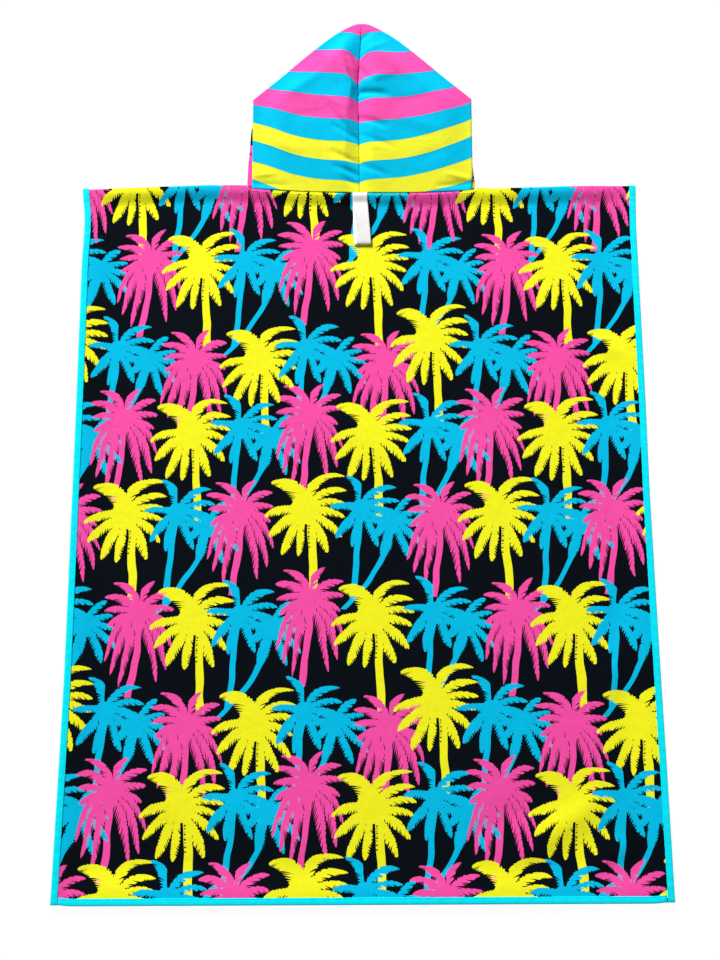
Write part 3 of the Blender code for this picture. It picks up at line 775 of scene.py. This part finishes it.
def make_tape(name, path, outwards, upwards, reverse, seed, node_name):
    """The section at each point of a path, its upper face rippled by the stitching."""
    along = run_length(path)
    section = np.tile(TAPE_SECTION, (len(path), 1, 1))
    # Both cut ends are pressed flat and turned in, so they are closed and a little round.
    to_end = np.minimum(along, along[-1] - along)[:, None] / PRESSED
    closed = np.sqrt(1.0 - (1.0 - np.clip(to_end, LEAST_OPEN, 1.0)) ** 2)
    middle = (TAPE_SECTION[:, 1].max() + TAPE_SECTION[:, 1].min()) / 2
    section[:, :, 1] = middle + (section[:, :, 1] - middle) * closed
    wave = ripple(along, seed)[:, None] * np.clip(to_end / RIPPLE_START, 0.0, 1.0)
    inner = section[:, :, 0] < INNER_EDGE
    section[:, :, 0] += np.where(inner, EDGE_WAVE * MM * wave, 0.0)
    swell = np.where(section[:, :, 0] > HELD_TO, 1.0, HELD) * FACE_WAVE * MM
    section[:, :, 1] += np.where(section[:, :, 1] > UPPER_FACE, swell * wave, 0.0)
    rings = path[:, None, :] + section[:, :, :1] * outwards[:, None, :]
    rings = rings + section[:, :, 1:] * upwards[:, None, :]
    rings[:, :, 2] = np.maximum(rings[:, :, 2], 0.0)  # it lies on the floor
    round_it = run_length(np.vstack([TAPE_SECTION, TAPE_SECTION[:1]]))
    cloth = grid(along[:, None], round_it)
    if reverse:
        rings = rings[:, ::-1]
        cloth = cloth[:, ::-1]
    piece = grid_piece(name, rings, cloth, cyan_tape, "binding_tape", around=True)
    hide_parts(node_name)
    print(name, "runs", round(float(along[-1]), 3), "m")
    return path + outwards * STITCH_LINE[0] + upwards * STITCH_LINE[1], upwards


def side_tape(name, edge, side, seed, node_name):
    """Tape along a whole side, over the fold and past both hems' tapes."""
    past = PAST_HEM * (0.0, EDGE, 0.0)
    path = divided(np.vstack([edge[0] - past, edge, edge[-1] - past[::-1]]), TAPE_STEP)
    outwards = np.tile((side, 0.0, 0.0), (len(path), 1))
    return make_tape(name, path, outwards, path_normals(path), side < 0, seed, node_name)


def hem_tape(name, hem, upward, seed, node_name):
    """Tape along a hem, between the side tapes."""
    reach = TAPE_COVER + GAP
    start, end = hem[0, 0] + reach, hem[-1, 0] - reach
    inner = hem[(hem[:, 0] > start + MM) & (hem[:, 0] < end - MM)]
    ends = [(start, *inner[0, 1:]), (end, *inner[-1, 1:])]
    path = divided(np.vstack([ends[0], inner, ends[1]]), TAPE_STEP)
    outwards = np.tile((0.0, -1.0, 0.0), (len(path), 1))
    upwards = np.tile((0.0, 0.0, upward), (len(path), 1))
    return make_tape(name, path, outwards, upwards, upward > 0, seed, node_name)


tape_seams = [
    side_tape("tape_side_left", body[:, 0], -1.0, 1.0, "binding_side_left"),
    side_tape("tape_side_right", body[:, -1], 1.0, 2.0, "binding_side_right"),
    hem_tape("tape_hem_front", body[0], -1.0, 3.0, "binding_hem_front"),
    hem_tape("tape_hem_back", body[-1], 1.0, 4.0, "binding_hem_back"),
]

# %% [markdown]
# ## The hood
#
# Two halves of striped towelling meet in a seam down the middle. Spread flat, the hood
# keeps a soft roll on each side of the seam, its top is turned under along both slopes,
# and small creases run out from the seam where it is eased. The stripes are printed
# straight on the cloth. They sag and rise here because the cloth does, so they are drawn
# on the flat cloth's own coordinate, whose place on each half comes from a short table.

# %% Striped velour
STRIPE = 0.032
HOOD_CYAN, HOOD_PINK, HOOD_YELLOW = srgb("#00C0E8"), srgb("#F854AE"), srgb("#F2F234")


def stripes(node, cloth):
    """The stripe's colour, up the flat cloth: a repeat of ten, 32 mm each."""
    order = [HOOD_YELLOW, HOOD_CYAN] * 2 + [HOOD_PINK, HOOD_CYAN] * 3
    steps = [(place / 10.0, colour) for place, colour in enumerate(order)]
    up = node("SeparateXYZ", cloth).node.outputs[1]
    share = node("FRACT", node("/", up, STRIPE * len(order)))
    ink = node("ValToRGB", share, steps=steps)
    # Two inks overlap by a good millimetre where stripes meet, which is darker.
    to_edge = node("PINGPONG", up, STRIPE / 2)
    tone = node("MapRange", to_edge, From_Min=0.0005, From_Max=0.0009, To_Min=0.84, To_Max=1.0)
    return node("VectorMath.SCALE", ink, Scale=tone)


striped_velour = velour("striped_cotton_velour", stripes)

# %% The hood's sizes
WAY = {"left": -1.0, "right": 1.0}  # of each half along x
HOOD_HALF = 0.160
HOOD_MIDDLE = 0.0055
HOOD_FOLD = 0.007
HOOD_EDGE = 0.0055
SLOPE = 0.90
SEAM_RUN = 0.060
SLOPE_RUN = 0.035
SIDE_RUN = 0.045
PUFF_RUN = 0.040
FACE_EDGE_MIDDLE = 0.100
FACE_EDGE_TILT = 0.225
LEAST_TURN = 0.003
SLOPE_COSINE = 1.0 / np.hypot(1.0, SLOPE)

HOOD_SLOPE = table(
    "out top",
    (0, 263), (5, 263), (11, 261.6), (16, 259.2), (22, 256),
    (30, 251.6), (42, 243.7), (55, 233.6), (70, 220.7), (90, 202.6),
    (110, 184), (126, 169.4), (140, 157.2), (160, 139.2),
)
HOOD_SEAM = table("up x", (-10, 0.2), (60, 0.2), (130, -1), (175, -0.9), (210, 1.7), (263, 5))
HOOD_SIDES = table("up left right", (-10, 0, -4.8), (8, 0, -2.6), (25, 0, -1.6), (140, 0, -1))
LINING_SIDES = table(
    "up left right",
    (-10, 7.2, 1.4), (10, 7, 1.2), (36, 6, -1.6), (60, 4, -2.6),
    (80, 3, -2.8), (104, 0.8, -2.8), (118, -2, -2.8),
)
HOOD_RELIEF = table(
    "up seam left_at left_top right_at right_top mid",
    (-10, 4.5, 26, 6.4, 24, 6.4, 6.2), (20, 5.6, 26, 10, 22, 10, 8.5),
    (60, 6, 22, 13, 20, 13, 11), (110, 6.5, 20, 15, 22, 15, 12.5),
    (140, 6.5, 14, 15.5, 24, 16, 12.5), (158, 6.5, 10, 16.5, 25, 17, 12.5),
    (187, 6.5, 21, 18, 25, 17.5, 12.5), (205, 6.5, 30, 17.6, 24, 17.5, 12),
    (235, 6, 22, 16, 17, 15.5, 11), (263, 6, 12, 10, 12, 10, 8),
)

# Stripe edges up each half: at the seam, how far they rise beside it and on to the side.
STRIPE_EDGES = table(
    "seam left_beside left_rise right_beside right_rise",
    (-22, 0.2, 41.8, 5.3, 27.4), (4.9, 3.7, 38.6, 4.7, 35.5),
    (34.8, 3.5, 42, 2.2, 41.9), (64.9, 3.6, 41.1, 2, 39.6),
    (100, 3.7, 33.3, -0.2, 32.4), (132.1, 9, 25.2, 3.6, 31.5),
    (161.3, 17.1, 16.2, 9.8, 31.6), (198.7, 17.8, 28.4, 10.3, 35.3),
    (241.5, 8.1, 25, 6.3, 25),
)
# How far out the first rise takes, the power of the second, and the last drop at the side.
STRIPE_CURVES = {"left": (0.018, 3.0, 0.0073), "right": (0.0057, 2.2, 0.0)}
SIDE_DROP, SIDE_DROP_RUN = 0.126, 0.034  # where that drop starts, and how wide it is
RIDGE = {"left": 1.3, "right": 1.6}  # the crest beside the seam: crisp at 1, round at 2

# Creases in each half: from one end to the other, out from the seam and up, in mm.
CREASES = {
    "left": table(
        "out0 up0 out1 up1 height width",
        (32, 236, -8, 158, 2.6, 3.6), (40, 196, 22, 120, -0.8, 5),
        (22, 200, -6, 138, -2.6, 5), (66, 146, 16, 120, 1.4, 4.8),
        (54, 128, 4, 74, -2.6, 5), (44, 118, 110, 108, -1.2, 8),
        (112, 158, 62, 132, 0.8, 6), (46, 98, -16, 62, -2.4, 5),
        (50, 56, -10, 30, -1.8, 4.5), (46, 34, -14, 12, -2.2, 4.5),
        (30, 14, -8, -2, -1.4, 4), (84, 52, 158, 84, 1.3, 9),
        (56, 188, 114, 140, 1.5, 9), (48, 206, 96, 158, -1.2, 7),
        (162, 18, 124, 20, 1.5, 4), (168, 6, 104, -2, -2, 6),
    ),
    "right": table(
        "out0 up0 out1 up1 height width",
        (-20, 152, 44, 142, -4.2, 5.2), (0, 160, 52, 180, 1.8, 6),
        (-18, 116, 42, 90, -2.6, 5), (-10, 200, 22, 162, -2.4, 4.5),
        (-8, 86, 52, 56, -1.2, 4.6), (32, 206, 74, 166, 1.3, 7.5),
        (-8, 226, 24, 258, -2, 4), (-4, 204, 46, 236, 1.4, 5),
        (-14, 42, 44, 14, -1.7, 5), (42, 110, 120, 86, 1.3, 10),
        (38, 130, 106, 141, -1.2, 8), (66, 34, 142, 68, -0.8, 9),
        (160, 10, 118, 20, 1.4, 4.5), (168, 6, 106, -2, -2, 6),
    ),
}

# %% The hood's forms
def hood_top(out):
    """Height of the folded slopes, out from the seam."""
    return look("top", HOOD_SLOPE, out)


def hood_x(out, up, half, sides=HOOD_SIDES):
    """The x of a point: the seam's own line at out = 0, even on both sides further out."""
    reach = np.maximum(out, GAP / 2) + look(half, sides, up) * out / HOOD_HALF
    wander = (look("x", HOOD_SEAM, up) - HOOD_MIDDLE) * (1.0 - smooth(out / SEAM_RUN))
    return HOOD_MIDDLE + WAY[half] * reach + wander


def hood_base(out, half):
    """Height of the neck seam above the straight shoulder line, along the body's own edge."""
    neckline = body[FIRST_BACK]
    x = hood_x(out, HOOD_SEAM["up"][:1], half)
    return np.interp(x, neckline[:, 0], neckline[:, 1]) + GAP - Y_SHOULDER


def face_edge(out):
    """Height of the turned-under face edge, out from the seam."""
    return np.minimum(FACE_EDGE_MIDDLE + FACE_EDGE_TILT * out, hood_top(out) - LEAST_TURN)


def hood_face(out, up, half):
    """Height of the upper face: out of the seam to the crest beside it, down to the edges."""
    seam = look("seam", HOOD_RELIEF, up)
    crest_at = look(half + "_at", HOOD_RELIEF, up)
    crest = look(half + "_top", HOOD_RELIEF, up)
    mid = look("mid", HOOD_RELIEF, up)
    climb = 1.0 - (1.0 - np.minimum(out / crest_at, 1.0)) ** RIDGE[half]
    near = seam + (crest - seam) * climb
    far = crest + (mid - crest) * smooth((out - crest_at) / PUFF_RUN)
    height = np.where(out < crest_at, near, far)
    from_side = smooth((HOOD_HALF - out) / SIDE_RUN)
    height = HOOD_EDGE + (height - HOOD_EDGE) * from_side
    from_slope = smooth((hood_top(out) - up) * SLOPE_COSINE / SLOPE_RUN)
    return HOOD_FOLD + (height - HOOD_FOLD) * from_slope


def stripe_number(out, up, half):
    """How many stripe edges lie below a point, in fractions: even between two edges."""
    run, power, tip = STRIPE_CURVES[half]
    beside = 1.0 - np.exp(-out / run)
    rise = (out / HOOD_HALF) ** power
    drop = tip * np.clip((out - SIDE_DROP) / SIDE_DROP_RUN, 0.0, 1.0) ** 2
    columns = (STRIPE_EDGES[name] for name in ("seam", half + "_beside", half + "_rise"))
    edges = [seam + near * beside + far * rise - drop for seam, near, far in zip(*columns)]
    number = np.minimum((up - edges[0]) / STRIPE, 0.0)
    for low, high in zip(edges, edges[1:]):
        number = number + np.clip((up - low) / (high - low), 0.0, 1.0)
    return number + np.maximum((up - edges[-1]) / STRIPE, 0.0)


# %% The hood's halves
HOOD_OUT = spaced((0.0, 0.06, HOOD_HALF), (0.0014, 0.0026))
HOOD_SHARES = spaced((0.0, 0.06, 0.97, 1.0), (0.006, 0.0062, 0.006))
TURNED_SHARES = spaced((0.0, 1.0), (0.035,))[1:]
LEVEL_SLOPE, LEVEL_NECK = 0.02, 0.01  # creases fade out this far from the slope and the neck
GATHER = 0.28  # mm, how far the seam's stitches pull the cloth beside it
GATHER_START, GATHER_RUN = 0.002, 0.009
GATHER_SHIFT = 0.013  # the two sides' gathers don't face each other


def hood_half(half):
    """One half's outer face: up from the neck, over the slope and back underneath."""
    side = WAY[half]
    out = HOOD_OUT[None, :]
    base = hood_base(out, half)
    fold = hood_top(out) - FOLD_ARC
    up = base + (fold - base) * HOOD_SHARES[:, None]
    angles = np.radians(np.linspace(90.0, -90.0, ARC_STEPS + 1)[1:, None])
    arc_up = fold + FOLD_ARC * np.cos(angles)
    arc_z = HOOD_FOLD / 2 * (1.0 + np.sin(angles)) * np.ones_like(arc_up)
    turned = (face_edge(out) - fold) * TURNED_SHARES[:, None]

    outs = np.broadcast_to(out, up.shape)
    level = smooth((fold - up) / LEVEL_SLOPE) * smooth((up - base) / LEVEL_NECK)
    upper = hood_face(outs, up, half) + bells(CREASES[half], outs, up) * level
    gathers = ripple(up + side * GATHER_SHIFT, side) * GATHER * MM
    gathers = gathers * np.exp(-outs / GATHER_RUN)
    upper = upper + gathers * level * (1.0 - np.exp(-outs / GATHER_START))

    ups = np.vstack([up, arc_up, fold + turned])
    z = np.vstack([upper, arc_z, np.zeros_like(turned)])
    x = hood_x(out, ups, half)
    round_arc = (np.pi / 2 - angles) * (FOLD_ARC + HOOD_FOLD / 2) / 2
    cloth_up = np.vstack([up, fold + round_arc, fold + round_arc[-1:] - turned])
    number = stripe_number(out, cloth_up, half)
    cloth = grid(side * out, number * STRIPE)
    points = grid(x, Y_SHOULDER + ups, z)
    piece = grid_piece(
        "hood_half_" + half, points, cloth, striped_velour, "striped_towelling", flipped=side > 0
    )
    thicken(piece, CLOTH)
    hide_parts("hood_" + half)
    return points


hood_halves = [hood_half(half) for half in WAY]
print("hood grid", hood_halves[0].shape[:2])

# %% [markdown]
# ### What lies inside the hood
#
# The hood is lined with the print, and its layers lie in a stack between the two faces.
# Only slivers of them show at the sides, and their underside below. The whole stack is one
# rounded form with a step where the face edge is turned under.

# %% The lining
LINING_OUT = spaced((0.0, 0.02, 0.14, HOOD_HALF), (0.004, 0.006, 0.002))
LINING_LOW = spaced((0.0, 1.0), (0.06,))
LINING_HIGH = spaced((0.0, 0.85, 1.0), (0.09, 0.03))
LINING_RIM = 0.0016
LINING_SHARE = 0.70
LINING_SHIFT = 0.006
LINING_ROUNDING = 0.008
STEP = 0.0004
LINING_CUT = (0.072, 0.634)  # where the print lies on it, right and down the cloth


def lining_side(half):
    """One half of the hidden layers: the points of its upper and of its lower face."""
    out = LINING_OUT[None, :]
    base = hood_base(out, half)
    end = hood_top(out) - FOLD_ARC - TAPE
    step_at = np.minimum(face_edge(out) - STEP, end - 2 * LEAST_TURN)
    low = base + (step_at - STEP - base) * LINING_LOW[:, None]
    high = step_at + (end - step_at) * LINING_HIGH[:, None]
    up = np.vstack([low, high])
    upper = hood_face(out, up, half) + np.minimum(bells(CREASES[half], out, up), 0.0)
    shifted_in = hood_face(np.maximum(out - LINING_SHIFT, 0.0), up, half)
    seam = look("seam", HOOD_RELIEF, up)
    under_seam = seam - CLOTH - 2 * GAP
    top = np.minimum(under_seam + LINING_SHARE * (shifted_in - seam), upper - CLOTH - 2 * GAP)
    floor_z = np.vstack([np.zeros_like(low), np.full_like(high, CLOTH + 2 * GAP)])
    to_side = (HOOD_HALF - out) / LINING_ROUNDING
    to_slope = (end - up) * SLOPE_COSINE / LINING_ROUNDING
    roundness = np.sqrt(np.clip(np.minimum(to_side, to_slope), 0.0, 1.0))
    top = floor_z + LINING_RIM + np.maximum(top - floor_z - LINING_RIM, 0.0) * roundness
    x = hood_x(out, up, half, LINING_SIDES)
    y = Y_SHOULDER + up
    return grid(x, y, top), grid(x, y, floor_z)


def make_lining():
    """Rings of points round the stack: across its upper face and back under the lower."""
    tops, floors = zip(*map(lining_side, WAY))
    top = np.concatenate([tops[0][:, :0:-1], tops[1]], axis=1)
    under = np.concatenate([floors[0][:, :0:-1], floors[1]], axis=1)
    rings = np.concatenate([top, under[:, ::-1]], axis=1)
    right, down = LINING_CUT
    cloth = grid(right + rings[:, :, 0], down + Y_SHOULDER - rings[:, :, 1])
    cloth = np.concatenate([cloth, cloth[:, :1]], axis=1)
    surface = (rings[:, ::-1], cloth[:, ::-1], printed_velour, "print_towelling")
    piece = grid_piece("hood_inner_layers", *surface, around=True)
    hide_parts("hood_lining")
    print("inner layers, rings", rings.shape[:2])


make_lining()

# %% [markdown]
# ## The hanging loop
#
# A woven white tape, doubled and caught in the neck seam. The path of its middle goes down
# from the seam, round a soft bend and back up on the towel, and the flat section of the
# tape, with its two firmer edges, is carried along it.

# %% The loop
LOOP_WIDTH = 0.021
LOOP_ACROSS = 15  # points on each face
LEG_STEPS = 7
FIRM_FROM, SLACK = 0.66, 0.72  # outside this share of the half width it is thick, inside not
RIM_FROM, RIM = 0.95, 0.6  # its rims are round
LOOP = table(
    "along lift across",
    (0.5, 2.1, 1), (14, 2.5, 1.6), (22, 4.6, 2.1), (34, 5.2, 2.9), (55, 4.8, 4.6),
    (68, 4.3, 5.6), (75, 4, 6), (78.6, 3.3, 6.2), (79.8, 2.2, 5.2), (78, 1.2, 3.4),
    (74, 0.8, 2.4), (55, 0.8, 1.8), (34, 0.8, 1.4), (14, 0.8, 1.2), (0.5, 0.8, 1),
)


def curved(points, steps):
    """A smooth curve through points: each leg is a cubic that keeps the chord's direction."""
    before = np.vstack([2 * points[:1] - points[1:2], points[:-2]])
    after = np.vstack([points[2:], 2 * points[-1:] - points[-2:-1]])
    start, end = points[:-1], points[1:]
    t = (np.arange(steps) / steps)[None, :, None]
    a, b = start[:, None], end[:, None]
    pull_a, pull_b = (end - before)[:, None] / 2, (after - start)[:, None] / 2
    legs = a * (2 * t**3 - 3 * t**2 + 1) + b * (3 * t**2 - 2 * t**3)
    legs = legs + pull_a * (t**3 - 2 * t**2 + t) + pull_b * (t**3 - t**2)
    return np.vstack([legs.reshape(-1, points.shape[1]), points[-1:]])


white_tape = woven_tape("woven_cotton_tape", srgb("#F3F3F1")[:3], 260.0)


def make_loop():
    """The tape's section, firmer at both edges, square to the loop's path."""
    back = body[FIRST_BACK:]
    below = back[:, np.abs(back[0, :, 0] - NECK_MIDDLE) < LOOP_WIDTH].mean(axis=1)
    table_path = np.column_stack([LOOP["across"], below[0, 1] - LOOP["along"], LOOP["lift"]])
    path = curved(table_path, LEG_STEPS)
    path[:, 2] += np.interp(-path[:, 1], -below[:, 1], below[:, 2])
    normals = path_normals(path)
    aside = np.concatenate([np.linspace(a, -a, LOOP_ACROSS) for a in (-1, 1)])
    face = np.repeat([0.5, -0.5], LOOP_ACROSS)
    firm = np.where(np.abs(aside) > FIRM_FROM, 1.0, SLACK)
    firm = firm * np.where(np.abs(aside) > RIM_FROM, RIM, 1.0)
    rings = path[:, None, :] + np.array([LOOP_WIDTH / 2, 0.0, 0.0]) * aside[None, :, None]
    rings = rings + normals[:, None, :] * (face * firm * TAPE)[None, :, None]
    along = run_length(path)
    across = np.append(aside, aside[:1]) * LOOP_WIDTH / 2
    cloth = grid(along[:, None], across)
    piece = grid_piece("loop_tape", rings, cloth, white_tape, "loop_tape", around=True)
    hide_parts("hanging_loop")
    print("loop tape", round(float(along[-1]), 3), "m")


make_loop()

# %% [markdown]
# ## The stitching
#
# A sewn line is a row of short threads, each of which comes up out of the cloth and goes
# down into it again. One stitch is a small closed form of a few dozen faces, and each row
# of them follows a line that the sewn edge already has.

# %% Thread
STITCH = 2.5 * MM
PITCH = 3.4 * MM
THREAD = 0.24 * MM
RING_PLACES = np.array([-1.0, -0.45, 0.45, 1.0])  # along a stitch, in halves of its length
RING_SIZES = np.array([0.5, 1.0, 1.0, 0.5])
RING_DIPS = np.array([0.9, 0.0, 0.0, 0.9])  # how far the ends go down, in thread radii
SIDES = 5
LIFT = 0.05 * MM  # of the middle of a thread above the cloth


def polyester_thread(name, colour):
    """Spun thread, a little glossier than the cloth, with a twist too fine to show."""
    node, wear = new_material(name)
    return wear(node("BsdfPrincipled", colour, Roughness=0.55, IOR=1.5, Specular_IOR_Level=0.3))


def stitch_rings(path, normals):
    """The rings of every stitch along a path: stitch, ring, side and coordinate."""
    along = run_length(path)
    middles = np.arange(PITCH, along[-1] - STITCH / 2, PITCH)

    def at(values, places):
        return grid(*(np.interp(places, along, column) for column in values.T))

    forward = at(path, middles + STITCH / 2) - at(path, middles - STITCH / 2)
    forward /= np.linalg.norm(forward, axis=1, keepdims=True)
    up = at(normals, middles)
    aside = np.cross(forward, up)
    angles = np.arange(SIDES) * 2 * np.pi / SIDES
    spokes = aside[:, None] * np.cos(angles)[:, None] + up[:, None] * np.sin(angles)[:, None]
    middle = at(path, middles)[:, None] + forward[:, None] * (RING_PLACES * STITCH / 2)[:, None]
    middle = middle - up[:, None] * (RING_DIPS * THREAD)[:, None]
    return middle[:, :, None] + spokes[:, None] * (RING_SIZES * THREAD)[:, None, None]


def stitching(name, rows, material, slot):
    """One piece of all the stitches along some paths with their normals."""
    rings = np.concatenate([stitch_rings(path, normals) for path, normals in rows])
    count = len(rings)
    first = np.arange(count)[:, None, None] * (len(RING_PLACES) * SIDES)
    round_it = np.arange(SIDES)
    start = np.arange(len(RING_PLACES) - 1)[:, None] * SIDES
    low, turned = start + round_it, start + np.roll(round_it, -1)
    quads = np.stack([low + SIDES, turned + SIDES, turned, low], axis=-1)
    sides = (quads.reshape(1, -1, 4) + first).reshape(-1, 4)
    caps = np.stack([round_it, round_it[::-1] + low.max() + 1])
    caps = (caps[None] + first).reshape(-1, SIDES)
    faces = sides.tolist() + caps.tolist()
    corners = np.concatenate([sides.ravel(), caps.ravel()])
    uv = rings.reshape(-1, 3)[corners][:, :2]
    new_piece(name, rings, faces, uv, material, slot)
    print(name, count, "stitches")


cyan_thread = polyester_thread("cyan_polyester_thread", srgb("#00C4D8"))
black_thread = polyester_thread("black_polyester_thread", srgb("#101418"))
stitching("tape_stitches", tape_seams, cyan_thread, "binding_tape")

# %% The neck and the hood's face edges
NECK_STITCH_ROW = FIRST_BACK + 3
NECK_STITCH_END = 0.004
FACE_STITCH_COLUMN = -2
FACE_STITCH_ROWS = slice(2, len(HOOD_SHARES) - 2)


def upward(path):
    """A path raised a little out of the cloth, with normals that point straight up."""
    return path + (0.0, 0.0, LIFT), np.tile((0.0, 0.0, 1.0), (len(path), 1))


neck_row = body[NECK_STITCH_ROW]
neck_row = neck_row[np.abs(neck_row[:, 0] - NECK_MIDDLE) < NECK_HALF - NECK_STITCH_END]
stitching("neck_stitches", [upward(neck_row)], black_thread, "print_towelling")
face_rows = [upward(half[FACE_STITCH_ROWS, FACE_STITCH_COLUMN]) for half in hood_halves]
stitching("face_edge_stitches", face_rows, cyan_thread, "striped_towelling")

# %% Finish
bpy.context.view_layer.update()
